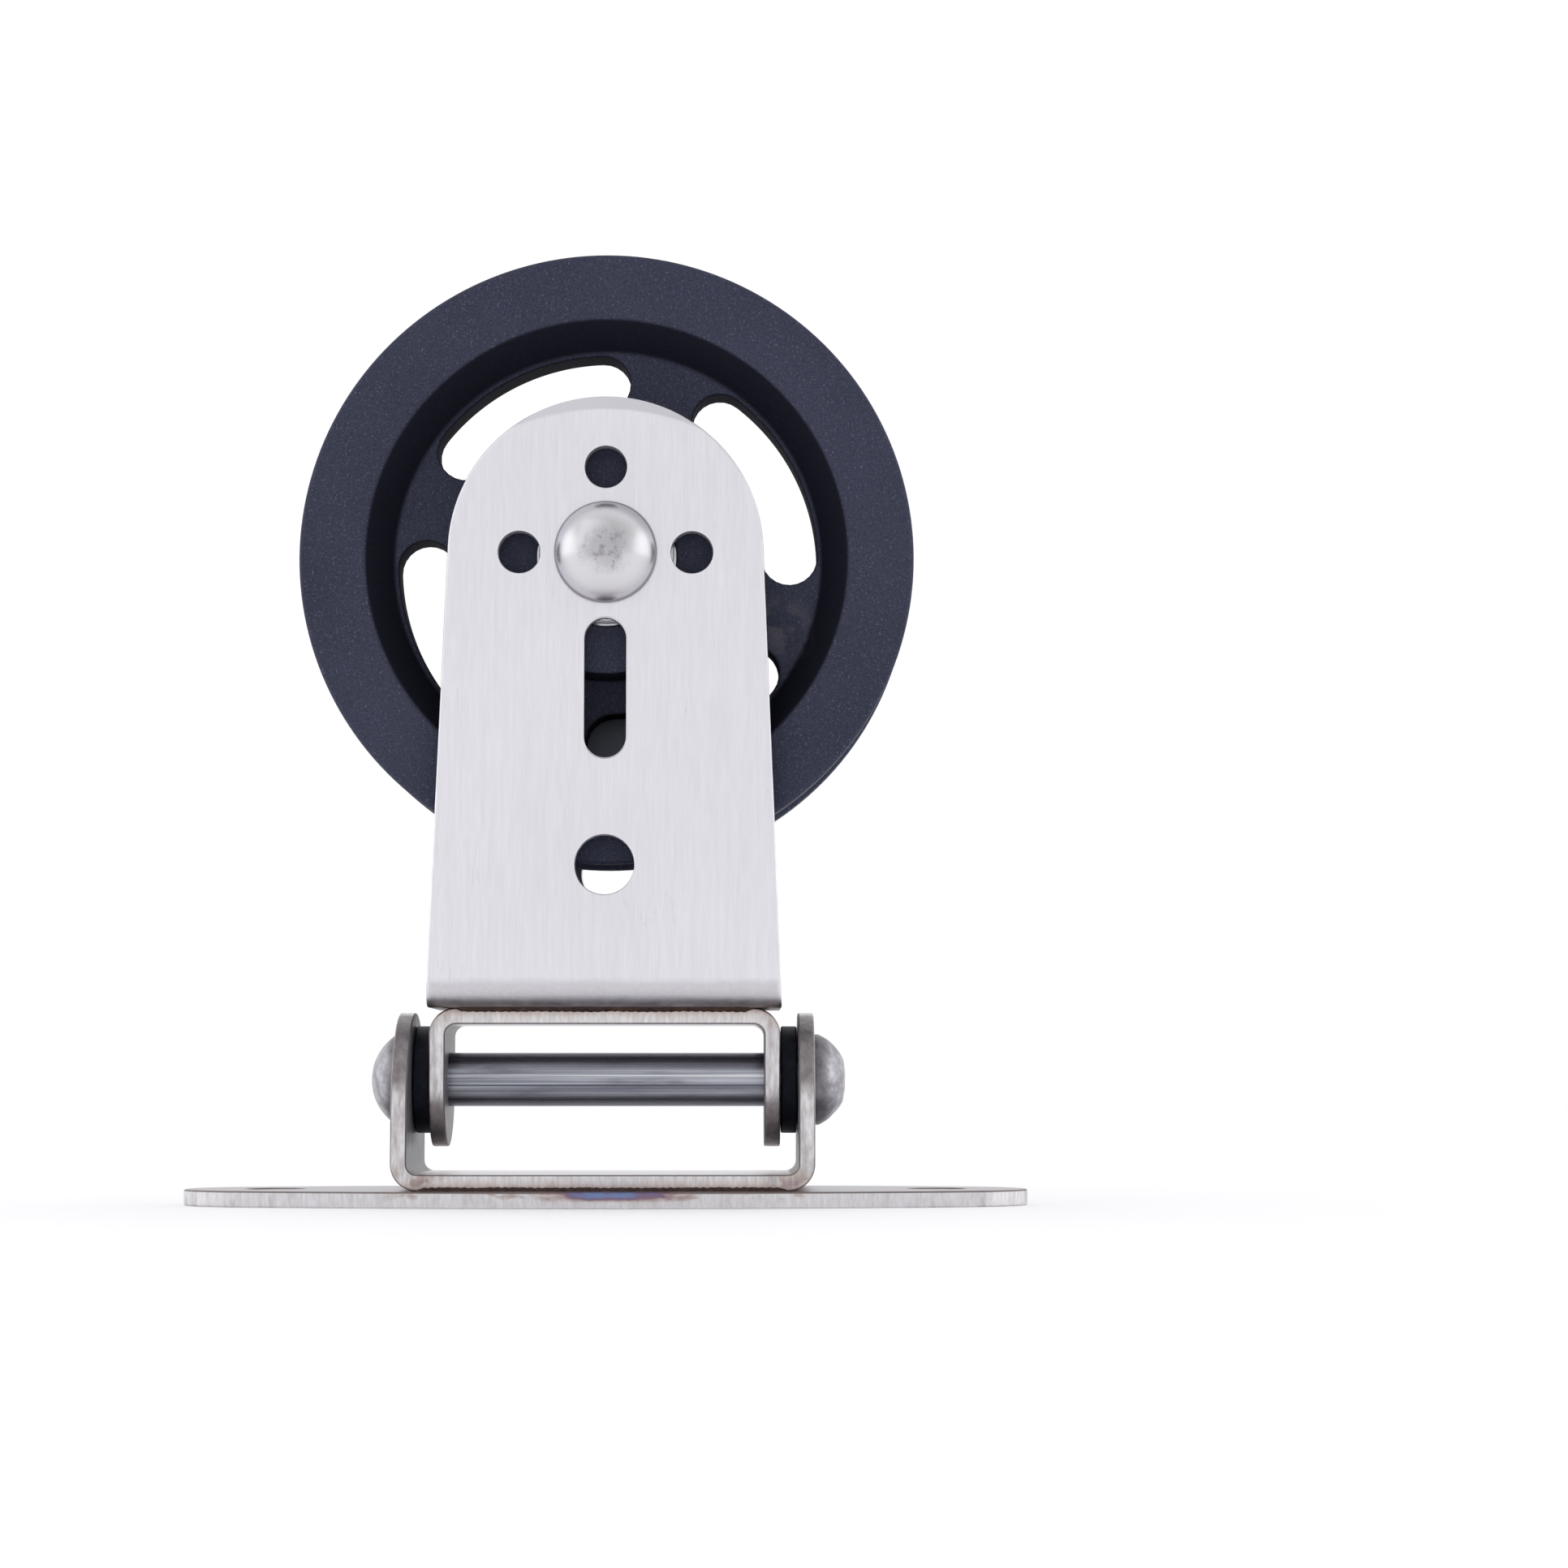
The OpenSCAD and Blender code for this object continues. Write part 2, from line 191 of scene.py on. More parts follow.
def lathe(name, section, centre, axis, steps=128, closed=True):
    """Turns a section of (radius, height) points round an axis, as on a lathe."""
    axis = Vector(axis)
    side = Vector((1, 0, 0)) if abs(axis.x) < 0.5 else Vector((0, 0, 1))
    bpy.ops.object.select_all(action="DESELECT")
    bpy.ops.mesh.primitive_circle_add(vertices=len(section), radius=1, fill_type="NOTHING")
    obj = bpy.context.object
    obj.name = name
    for vertex, (radius, height) in zip(obj.data.vertices, section):
        vertex.co = Vector(centre) + side * radius + axis * height
    if not closed:
        last = len(section) - 1
        ends = {0, last}
        pick(obj, "EDGE", lambda points: False)
        edit_done()
        for edge in obj.data.edges:
            edge.select = set(edge.vertices) == ends
        bpy.ops.object.mode_set(mode="EDIT")
        bpy.ops.mesh.delete(type="EDGE")
    else:
        bpy.ops.object.mode_set(mode="EDIT")
    bpy.ops.mesh.select_mode(type="VERT")
    bpy.ops.mesh.select_all(action="SELECT")
    bpy.ops.mesh.spin(steps=steps, angle=2 * math.pi, center=centre, axis=axis)
    edit_done()
    merge_and_face_out(obj)
    return obj


def rounded(points, radii):
    """A closed outline with each corner whose radius isn't 0 replaced by a short arc."""
    result = []
    count = len(points)
    for i, radius in enumerate(radii):
        corner = Vector(points[i])
        to_last = (Vector(points[i - 1]) - corner).normalized()
        to_next = (Vector(points[(i + 1) % count]) - corner).normalized()
        if radius == 0:
            result.append(tuple(corner))
            continue
        half = to_last.angle(to_next) / 2
        centre = corner + (to_last + to_next).normalized() * radius / math.sin(half)
        first = corner + to_last * radius / math.tan(half)
        last = corner + to_next * radius / math.tan(half)
        for step in range(5):
            along = (first - centre).slerp(last - centre, step / 4)
            result.append(tuple(centre + along * radius))
    return result


# %% Finishing a piece
def soften(obj, width, segments=3, angle=40):
    """Joins faces that lie in one plane, then rounds the sharp edges a little, as deburring does."""
    pick(obj, "FACE", lambda points: True)
    bpy.ops.mesh.dissolve_limited(angle_limit=math.radians(0.3))
    edit_done()
    apply_modifier(obj, "BEVEL", width=width, segments=segments, limit_method="ANGLE",
                   angle_limit=math.radians(angle), use_clamp_overlap=False, miter_outer="MITER_ARC")


def is_wide(points):
    """True for the broad flat faces of the sheet, which are over 15 mm both ways."""
    spans = sorted(max(p[i] for p in points) - min(p[i] for p in points) for i in range(3))
    return spans[1] > 15 * MM


def finish_piece(obj, body, material, slot, *replaced):
    """Smooth shading that keeps flat faces flat, a material, a body to ride on, and the part it stands for."""
    select_only(obj)
    bpy.ops.object.shade_smooth_by_angle(angle=math.radians(32))
    if any(is_wide([obj.data.vertices[i].co for i in face.vertices]) for face in obj.data.polygons):
        pick(obj, "FACE", is_wide)
        bpy.ops.mesh.region_to_loop()
        bpy.ops.mesh.mark_sharp()
        edit_done()
    apply_modifier(obj, "WEIGHTED_NORMAL", keep_sharp=True, weight=80)
    obj.data.materials.clear()
    obj.data.materials.append(material)
    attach(obj, body)
    if replaced:
        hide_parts(*replaced)
    print(obj.name, len(obj.data.polygons), "faces")


# %% [markdown]
# ## Shader maths as plain expressions
# A finish is a sum of patterns: brushing, mottling, tint, wear. Wiring Math nodes by hand hides the idea, so
# a small class wraps a socket and lets + - * and / add the nodes. One method makes every other node.

# %% Sockets that can be added and multiplied
class Field:
    """A value that varies over a surface, written like a number."""

    def __init__(self, finish, socket):
        self.finish = finish
        self.socket = socket

    def math(self, operation, *others, clamp=False):
        inputs = dict(enumerate([self, *others]))
        return self.finish.node("ShaderNodeMath", inputs, operation=operation, use_clamp=clamp)

    def __add__(self, other):
        return self.math("ADD", other)

    def __sub__(self, other):
        return self.math("SUBTRACT", other)

    def __mul__(self, other):
        return self.math("MULTIPLY", other)

    def __truediv__(self, other):
        return self.math("DIVIDE", other)

    def __rsub__(self, other):
        return self.finish.node("ShaderNodeMath", {0: other, 1: self}, operation="SUBTRACT")

    __radd__ = __add__
    __rmul__ = __mul__

    def size(self):
        return self.math("ABSOLUTE")

    def fade(self, start, end):
        """0 before start and 1 after end, with a smooth step between; start may be above end."""
        inputs = {0: self, 1: start, 2: end, 3: 0.0, 4: 1.0}
        return self.finish.node("ShaderNodeMapRange", inputs, interpolation_type="SMOOTHSTEP", clamp=True)


class Finish:
    """A material under construction, with a Principled shader and short ways to add patterns."""

    def __init__(self, name, metallic=0.0, roughness=0.5, **constants):
        self.material = bpy.data.materials.new(name)
        self.material.use_nodes = True
        self.tree = self.material.node_tree
        self.shader = self.tree.nodes["Principled BSDF"]
        self.shader.inputs["Metallic"].default_value = metallic
        self.shader.inputs["Roughness"].default_value = roughness
        for key, value in constants.items():
            self.shader.inputs[key.replace("_", " ")].default_value = value
        self.object_place = self.node("ShaderNodeTexCoord", output="Object")
        self.facing = self.node("ShaderNodeTexCoord", output="Normal")
        self.x, self.y, self.z = self.split(self.object_place)
        self.nx, self.ny, self.nz = self.split(self.facing)

    def node(self, kind, inputs=None, output=0, stops=None, **settings):
        """Adds any node: its settings first, then its sockets' values or links; returns one output."""
        made = self.tree.nodes.new(kind)
        for key, value in settings.items():
            setattr(made, key, value)
        if stops:
            ramp = made.color_ramp.elements
            while len(ramp) < len(stops):
                ramp.new(1.0)
            for element, (position, colour) in zip(ramp, stops):
                element.position = position
                element.color = (*colour, 1.0)
        for key, value in (inputs or {}).items():
            if isinstance(value, Field):
                self.tree.links.new(value.socket, made.inputs[key])
            elif isinstance(value, tuple) and made.inputs[key].type == "RGBA":
                made.inputs[key].default_value = (*value, 1.0)
            else:
                made.inputs[key].default_value = value
        return Field(self, made.outputs[output])

    def split(self, vector):
        separate = self.tree.nodes.new("ShaderNodeSeparateXYZ")
        self.tree.links.new(vector.socket, separate.inputs[0])
        return [Field(self, separate.outputs[i]) for i in range(3)]

    def stretched(self, scale, turn=(0, 0, 0)):
        """The object's own coordinates, scaled differently along each axis."""
        inputs = {"Vector": self.object_place, "Scale": scale, "Rotation": turn}
        return self.node("ShaderNodeMapping", inputs, vector_type="POINT")

    def noise(self, scale, detail=3.0, roughness=0.55, distortion=0.0, turn=(0, 0, 0)):
        """Soft noise, about 0 to 1; scale is one number or one per axis, in waves per metre."""
        across = scale if isinstance(scale, tuple) else (scale, scale, scale)
        inputs = {"Vector": self.stretched(across, turn), "Scale": 1.0, "Detail": detail,
                  "Roughness": roughness, "Distortion": distortion}
        return self.node("ShaderNodeTexNoise", inputs)

    def reach(self, across, height):
        """Distance from an axis at the given height; across is the other coordinate square to it."""
        drop = self.z - height
        return (across * across + drop * drop).math("SQRT")

    def mix(self, first, second, amount):
        """A colour between two colours."""
        return self.node("ShaderNodeMix", {0: amount, 6: first, 7: second}, output=2, data_type="RGBA")

    def ramp(self, value, *stops):
        return self.node("ShaderNodeValToRGB", {0: value}, stops=stops)

    def feed(self, socket, value):
        self.tree.links.new(value.socket, self.shader.inputs[socket])

    def bump(self, height, distance, strength=1.0):
        made = self.node("ShaderNodeBump", {"Height": height, "Distance": distance, "Strength": strength},
                         output="Normal")
        self.feed("Normal", made)


# %% [markdown]
# ## Brushed stainless sheet
# The fork, the clevises and the plate are the same satin stainless, brushed along the strip before bending.
# Its look is three sizes of noise: hair-fine streaks, wider soft streaks and a slow mottling. They drive
# colour, roughness and a very shallow bump. The cut edges are rougher and a little browner than the faces.
# The faces that look inwards are painted dark, as the shade inside the fork and clevises.

# %% Brushing and scratches
def brushing(finish, across):
    """Hair-fine streaks and wider streaks that run up and down the sheet."""
    fine = finish.noise((across * 1.6, across * 1.6, 160.0), detail=4.0)
    wide = finish.noise((across / 2.5, across / 2.5, 40.0), detail=2.0)
    return fine, wide


def scratches(finish, turn, width=0.012):
    """A few thin, short scratches in one direction."""
    long_waves = finish.noise((1500.0, 1500.0, 60.0), detail=0.0, turn=turn)
    patches = finish.noise(60.0, detail=1.0).fade(0.60, 0.70)
    line = 1 - (long_waves - 0.5).size().fade(0.0, width)
    return line * patches


def brushed_sheet(name, light, dark, edge_mask, edge_colour, across=2600.0):
    """Satin stainless: returns the finish and its colour before any tint is laid over it."""
    finish = Finish(name, metallic=1.0)
    fine, wide = brushing(finish, across)
    mottling = finish.noise(22.0, detail=3.0)
    shade = (fine * 0.45 + wide * 0.3 + mottling * 0.25).fade(0.25, 0.75)
    colour = finish.mix(dark, light, shade)
    scratch = scratches(finish, (0.0, 0.5, 0.0)) + scratches(finish, (0.0, -0.25, 0.1))
    colour = finish.mix(colour, (0.42, 0.41, 0.45), scratch.math("MULTIPLY", 0.25, clamp=True))
    edge = edge_mask(finish)
    edge_noise = finish.noise((1700.0, 1700.0, 420.0), detail=4.0)
    edge_tone = finish.mix(edge_colour, light, edge_noise.fade(0.2, 0.8))
    colour = finish.mix(colour, edge_tone, edge)
    finish.feed("Roughness", 0.30 + fine * 0.16 + mottling * 0.06 + edge * 0.08)
    finish.bump(fine * 0.6 + wide * 0.3 - scratch * 0.6 + edge * edge_noise * 0.8, 0.03 * MM, 0.5)
    return finish, colour


# %% [markdown]
# ## Heat tint
# Welding leaves a stain that runs from straw through brown and purple to blue as the steel got hotter. It
# follows the distance from the weld, broken up by noise, so a colour ramp over that distance paints it.

# %% Heat tint colours
def heat_colour(finish, heat):
    """Stainless oxide colours, from straw at 0 to blue at 1."""
    return finish.ramp(heat, (0.0, (0.62, 0.55, 0.47)), (0.35, (0.47, 0.33, 0.22)), (0.6, (0.28, 0.14, 0.13)),
                       (0.8, (0.19, 0.13, 0.24)), (1.0, (0.16, 0.24, 0.46)))


# %% Fork steel
def rim_line(finish, facing, low=0.3, high=0.97):
    """The rolled edge beside a face, where the normal has turned partly away from the given axis."""
    turned = facing.size()
    return turned.fade(low - 0.15, low) * turned.fade(high + 0.02, high - 0.04)


def fork_steel():
    def edge_mask(finish):
        above_bend = finish.z.fade(fork_low.z + bend, fork_low.z + bend + 1 * MM)
        side = finish.nx.size().fade(0.6, 0.9)
        top = (1 - finish.ny.size()).fade(0.6, 0.9) * above_bend
        return side.math("MAXIMUM", top)

    finish, colour = brushed_sheet("fork_satin_steel", (0.90, 0.885, 0.93), (0.79, 0.78, 0.82), edge_mask,
                                   (0.56, 0.54, 0.55))
    ragged = finish.noise((260.0, 260.0, 500.0), detail=4.0) - 0.5
    # Painted shade: this fine noise mottles the darker grey painted on the lower bend, and the painted shade on
    # the inward faces.
    shade_mottle = finish.noise(1400.0, detail=3.0)
    bent = (finish.z + ragged * 0.8 * MM).fade(fork_low.z + 5.6 * MM, fork_low.z + 4.0 * MM)
    bent = bent * finish.x.size().fade(fork_high.x, fork_high.x - 1.2 * MM)
    colour = finish.mix(colour, finish.mix((0.50, 0.485, 0.51), (0.66, 0.65, 0.68), shade_mottle), bent * 0.8)
    inward = (finish.y * finish.ny * PER_MM).fade(-8.0, -13.0)
    colour = finish.mix(colour, finish.mix((0.13, 0.14, 0.17), (0.20, 0.21, 0.25), shade_mottle), inward)
    # Painted shadow: the foot of the fork, over the inner clevis, is painted near black with a brown cast.
    low = (finish.z + ragged * 1.6 * MM).fade(fork_low.z + 2.6 * MM, fork_low.z + 0.1 * MM)
    shaded_colour = finish.mix(colour, (0.10, 0.075, 0.08), low * low * 0.85)
    # Painted shade: the dubbed crescent at the top of each arm is painted a darker grey.
    reach = finish.reach(finish.x, fork_high.z - dub_drop - dub_radius)
    dubbed = reach.fade(dub_radius - 0.4 * MM, dub_radius + 0.3 * MM)
    dubbed = dubbed * finish.z.fade(axle_z + 15 * MM, axle_z + 17 * MM)
    shaded_colour = finish.mix(shaded_colour, (0.64, 0.63, 0.67), dubbed * 0.75)
    finish.feed("Base Color", shaded_colour)
    return finish.material


fork_finish = fork_steel()


# %% Clevis and plate steel
def clevis_steel(name, floor_z, upright):
    """Satin steel with rougher edges, and heat tint close to the weld at floor_z."""
    finish, colour = brushed_sheet(name, (0.95, 0.93, 0.95), (0.70, 0.68, 0.70),
                                   lambda f: f.ny.size().fade(0.6, 0.9) * 0.5, (0.50, 0.46, 0.45))
    ragged = finish.noise(320.0, detail=4.0) - 0.5
    ear = finish.x.size().fade(27 * MM, 31 * MM)
    grime = finish.noise((900.0, 900.0, 220.0), detail=5.0).fade(0.34, 0.70)
    colour = finish.mix(colour, (0.26, 0.235, 0.24), grime * (0.10 + ear * 0.40))
    inward = (finish.x * finish.nx * PER_MM).fade(-2.0, -16.0)
    colour = finish.mix(colour, finish.mix((0.05, 0.05, 0.06), (0.19, 0.19, 0.22), grime), inward * 0.95)
    # Painted shade: a dark line on the rolled edges beside the front and back faces.
    colour = finish.mix(colour, (0.12, 0.095, 0.095), rim_line(finish, finish.ny) * 0.7)
    away = ((finish.z - floor_z) * upright + ragged * 1.6 * MM).size()
    near_weld = away.fade(2.6 * MM, 0.0)
    corner = finish.x.size().fade(25 * MM, 31 * MM) * away.fade(6 * MM, 1 * MM)
    corner = corner * (ragged + 0.5).fade(0.42, 0.6)
    stain = near_weld.math("MAXIMUM", corner)
    tint = heat_colour(finish, stain * 0.62 + ragged * 0.3)
    finish.feed("Base Color", finish.mix(colour, tint, stain * 0.6))
    finish.feed("Metallic", 1 - inward * 0.85)
    return finish.material


def plate_steel():
    finish, colour = brushed_sheet("plate_satin_steel", (0.82, 0.81, 0.83), (0.68, 0.67, 0.70),
                                   lambda f: (1 - f.nz.size()).fade(0.5, 0.9) * 0.6, (0.56, 0.53, 0.53))
    # Painted shade: the flat top and underside are painted darker.
    colour = finish.mix(colour, (0.30, 0.28, 0.29), finish.nz.size().fade(0.9, 0.99) * 0.6)
    # Blotchy wear all over, with painted shade on the round ends, where the blotches are laid on much more
    # strongly.
    wear_and_end_shade = finish.noise((420.0, 420.0, 160.0), detail=5.0).fade(0.42, 0.7)
    plate_end = finish.x.size().fade(45 * MM, 75 * MM)
    colour = finish.mix(colour, (0.36, 0.345, 0.36), wear_and_end_shade * (0.15 + plate_end * 0.4))
    # Painted shade: a dark brown line on the rolled edges round the plate's top.
    rim = rim_line(finish, finish.nz) * finish.z.fade(0.0, 3 * MM)
    colour = finish.mix(colour, (0.14, 0.105, 0.095), rim * 0.85)
    ragged = finish.noise((240.0, 400.0, 700.0), detail=5.0)
    edge_on = finish.y.size().fade(16 * MM, 20 * MM) * finish.z.fade(0.9 * MM, 2.4 * MM)
    spots = ragged.fade(0.50, 0.66) * finish.x.size().fade(48 * MM, 30 * MM) * edge_on
    colour = finish.mix(colour, (0.30, 0.19, 0.14), spots * 0.6)
    hot = (finish.x - 2 * MM).size().fade(17 * MM, 2 * MM) * edge_on
    finish.feed("Base Color", finish.mix(colour, heat_colour(finish, hot * 0.55 + ragged * 0.8),
                                         (hot * ragged * 3.2).math("MINIMUM", 0.92)))
    return finish.material


outer_clevis_finish = clevis_steel("outer_clevis_steel", outer_low.z, 1.0)
inner_clevis_finish = clevis_steel("inner_clevis_steel", inner_high.z, -1.0)
plate_finish = plate_steel()
print("made", fork_finish.name, outer_clevis_finish.name, inner_clevis_finish.name, plate_finish.name)


# %% [markdown]
# ## Rivets, pins and small steel
# The rivets are brighter than the sheet, because their heads were formed cold. The axle's head keeps a
# matte, scuffed patch where the tool pressed it. The hinge pin is drawn rod, so its streaks run lengthwise.

# %% Rivet and pin steel
def axle_steel():
    finish = Finish("axle_rivet_steel", metallic=1.0)
    radius = finish.reach(finish.x, axle_z)
    rough_patch = finish.noise(420.0, detail=5.0, roughness=0.65)
    scuffed = (radius + (rough_patch - 0.5) * 5 * MM).fade(5.6 * MM, 2.2 * MM)
    pits = finish.noise(700.0, detail=5.0, roughness=0.7).fade(0.50, 0.64)
    colour = finish.mix((0.68, 0.67, 0.69), (0.50, 0.49, 0.51), scuffed * 0.8)
    colour = finish.mix(colour, (0.30, 0.285, 0.30), scuffed * pits * 0.75)
    # Painted shade: a darker ring where the head's dome turns away, and a dark outline at its rim.
    colour = finish.mix(colour, (0.56, 0.55, 0.58), radius.fade(6.6 * MM, 8.6 * MM) * 0.7)
    colour = finish.mix(colour, (0.16, 0.15, 0.16), radius.fade(8.9 * MM, 9.4 * MM) * 0.8)
    finish.feed("Base Color", colour)
    finish.feed("Roughness", 0.21 + scuffed * 0.22 + rough_patch * 0.08)
    finish.bump(rough_patch * (0.25 + scuffed * 0.75), 0.16 * MM, 0.6)
    return finish.material


def pin_steel():
    finish = Finish("hinge_pin_steel", metallic=1.0)
    streaks = finish.noise((12.0, 1600.0, 1600.0), detail=4.0)
    stains = finish.noise((60.0, 420.0, 420.0), detail=4.0).fade(0.45, 0.7)
    on_head = finish.x.size().fade(outer_high.x - 1 * MM, outer_high.x)
    height = (finish.z - pin_z) / pin_radius
    shank = finish.mix((0.20, 0.205, 0.24), (0.52, 0.54, 0.60), streaks.fade(0.3, 0.7))
    # Painted reflection: dark bands along the top and bottom of the shank, and a thin dark line just below its
    # middle.
    dark_reflection_bands = height.fade(0.35, 0.75).math("MAXIMUM", height.fade(-0.45, -0.85))
    shank = finish.mix(shank, (0.07, 0.07, 0.09), dark_reflection_bands * 0.75)
    drawn = (height + 0.22).size().fade(0.05, 0.02) * streaks.fade(0.25, 0.5)
    shank = finish.mix(shank, (0.03, 0.03, 0.04), drawn * 0.8)
    shank = finish.mix(shank, (0.10, 0.10, 0.12), stains * 0.5)
    dents = finish.noise(520.0, detail=5.0)
    head = finish.mix((0.27, 0.26, 0.28), (0.48, 0.47, 0.50), dents.fade(0.3, 0.7))
    # Painted shade: a dark ring round the edge of each head.
    reach = finish.reach(finish.y, pin_z)
    head = finish.mix(head, (0.10, 0.095, 0.105), reach.fade(6.8 * MM, 8.3 * MM) * 0.7)
    glint = (height - 0.14).size().fade(0.10, 0.02) * streaks.fade(0.3, 0.6)
    shank = finish.mix(shank, (0.92, 0.93, 0.96), glint * 0.8)
    finish.feed("Base Color", finish.mix(shank, head, on_head))
    finish.feed("Roughness", 0.20 + streaks * 0.16 + on_head * 0.08)
    finish.bump(streaks * (1 - on_head) * 0.4 + dents * on_head, 0.08 * MM, 0.5)
    return finish.material


def turned_steel(name, colour, roughness, centre):
    """Steel turned on a lathe: faint rings round an axis along Y."""
    finish = Finish(name, metallic=1.0)
    radius = finish.reach(finish.x, centre.z)
    rings = (radius * (2 * math.pi / (0.35 * MM))).math("SINE")
    haze = finish.noise(300.0, detail=4.0)
    dark = tuple(channel * 0.8 for channel in colour)
    finish.feed("Base Color", finish.mix(dark, colour, haze.fade(0.3, 0.7)))
    finish.feed("Roughness", roughness + haze * 0.1 + rings * 0.02)
    finish.bump(rings * 0.5 + haze * 0.3, 0.01 * MM, 0.6)
    return finish.material


def weld_metal():
    finish = Finish("weld_metal", metallic=0.8)
    blotches = finish.noise(900.0, detail=5.0)
    burnt = finish.ramp(blotches, (0.3, (0.025, 0.018, 0.018)), (0.6, (0.07, 0.042, 0.032)),
                        (0.85, (0.16, 0.11, 0.085)))
    finish.feed("Base Color", burnt)
    finish.feed("Roughness", 0.42 + blotches * 0.25)
    finish.bump(blotches, 0.1 * MM, 0.6)
    return finish.material


axle_finish = axle_steel()
pin_finish = pin_steel()
spacer_finish = turned_steel("spacer_steel", (0.74, 0.74, 0.76), 0.22, axle_centre)
race_finish = turned_steel("bearing_race_steel", (0.72, 0.73, 0.75), 0.12, axle_centre)
shield_finish = turned_steel("bearing_shield_steel", (0.62, 0.62, 0.65), 0.3, axle_centre)
cage_finish = turned_steel("bearing_cage_steel", (0.60, 0.60, 0.63), 0.35, axle_centre)
weld_finish = weld_metal()
print("made", axle_finish.name, pin_finish.name, spacer_finish.name, race_finish.name, weld_finish.name)


# %% [markdown]
# ## Black nylon
# The wheel is moulded, so its skin carries the spark-eroded grain of the mould: a fine even bump with tiny
# light specks. Dust sits on one spoke. The hinge washers are the same black, but smooth.

# %% Nylon and washer plastic
def wheel_nylon():
    finish = Finish("wheel_nylon", roughness=0.5, Specular_IOR_Level=0.22,
                    Specular_Tint=(0.72, 0.78, 1.0, 1.0))
    grain = finish.noise(2600.0, detail=2.0, roughness=0.7)
    coarse = finish.noise(900.0, detail=3.0)
    specks = finish.noise(2400.0, detail=1.0).fade(0.62, 0.72)
    clouds = finish.noise(18.0, detail=3.0)
    tone = (clouds * 0.4 + grain * 0.6).fade(0.3, 0.7)
    colour = finish.mix((0.022, 0.024, 0.042), (0.052, 0.055, 0.088), tone)
    colour = finish.mix(colour, (0.13, 0.14, 0.19), specks * 0.5)
    radius = finish.reach(finish.x, axle_z)
    # Painted shade: the sloping wall and the faces that turn away from the front and back, such as the window
    # walls, are painted near black.
    slope = radius.fade(39.6 * MM, 40.6 * MM) * radius.fade(45.4 * MM, 44.8 * MM)
    wall = (1 - finish.ny.size()).fade(0.15, 0.6) * radius.fade(46 * MM, 45 * MM)
    colour = finish.mix(colour, (0.004, 0.004, 0.008), slope.math("MAXIMUM", wall) * 0.9)
    dust = finish.reach(finish.x - 33 * MM, axle_z - 12.5 * MM).fade(8 * MM, 1 * MM)
    dust = dust * finish.noise(260.0, detail=5.0).fade(0.42, 0.62) * (-1 * finish.ny).fade(0.2, 0.8)
    colour = finish.mix(colour, (0.16, 0.15, 0.17), dust * 0.5)
    finish.feed("Base Color", colour)
    finish.feed("Roughness", 0.50 + coarse * 0.16 + dust * 0.15 + wall * 0.35)
    finish.bump(grain * 0.7 + coarse * 0.3, 0.06 * MM, 0.55)
    return finish.material


def washer_plastic():
    finish = Finish("washer_plastic", roughness=0.45, Specular_IOR_Level=0.2,
                    Specular_Tint=(0.7, 0.8, 1.0, 1.0))
    wear = finish.noise(500.0, detail=4.0)
    finish.feed("Base Color", finish.mix((0.003, 0.0035, 0.006), (0.010, 0.011, 0.018), wear.fade(0.4, 0.7)))
    finish.feed("Roughness", 0.38 + wear * 0.2)
    finish.bump(wear, 0.03 * MM, 0.5)
    return finish.material


nylon_finish = wheel_nylon()
washer_finish = washer_plastic()
print("made", nylon_finish.name, washer_finish.name)

# %% [markdown]
# ## The wall plate
# An oval cut from 3 mm sheet: two long arcs that run into round ends. It's drawn as one outline of four
# arcs, thickened, drilled and deburred. A polygon with the right arcs beats a scaled circle, whose ends
# would be too pointed.

# %% Plate outline, thickness and holes
def drill(obj, centre, axis, radius, flare=edge_roll, faces=()):
    """Drills a round hole and rolls its edge over at the given heights along the axis."""
    low, high = min(faces), max(faces)
    section = [(0.0, low - 5 * MM), (radius + 2 * flare, low - 5 * MM), (radius + 2 * flare, low - flare)]
    section += [(radius + flare * (1 - math.sin(a)), low + flare * (1 - math.cos(a)) - 0.1 * flare)
                for a in [math.radians(d) for d in (6, 30, 60, 90)]]
    section += [(radius + flare * (1 - math.sin(a)), high - flare * (1 - math.cos(a)) + 0.1 * flare)
                for a in [math.radians(d) for d in (90, 60, 30, 6)]]
    section += [(radius + 2 * flare, high + flare), (radius + 2 * flare, high + 5 * MM), (0.0, high + 5 * MM)]
    cut(obj, lathe("drill", section, centre, axis, steps=64, closed=False))


def plate_piece():
    half_l, half_w, end_r = plate_high.x, plate_high.y, plate_end_radius
    run = half_l - end_r
    big = (run ** 2 + half_w ** 2 - end_r ** 2) / (2 * (half_w - end_r))
    turn = math.degrees(math.atan2(big - half_w, run))
    outline = (arc((run, 0), end_r, -turn, turn, 20) + arc((0, half_w - big), big, turn, 180 - turn, 40)[1:]
               + arc((-run, 0), end_r, 180 - turn, 180 + turn, 20)[1:]
               + arc((0, big - half_w), big, 180 + turn, 360 - turn, 40)[1:-1])
    plate = slab("wall_plate", outline, lambda u, v: (u, v, plate_low.z), (0, 0, plate_high.z - plate_low.z))
    soften(plate, plate_roll)
    for side in (-1, 1):
        drill(plate, Vector((side * anchor_x, 0, 0)), (0, 0, 1), anchor_radius,
              faces=(plate_low.z, plate_high.z))
    finish_piece(plate, "base", plate_finish, "plate_steel", "base_plate")


plate_piece()


# %% [markdown]
# ## Bent strips
# Both clevises and the fork are strips folded into a U by a press brake. The U section, with its round outer
# and inner bends, is drawn once and drawn out along the strip's width. The ears are then trimmed to their
# outline, deburred and drilled, in the order that a workshop would use.

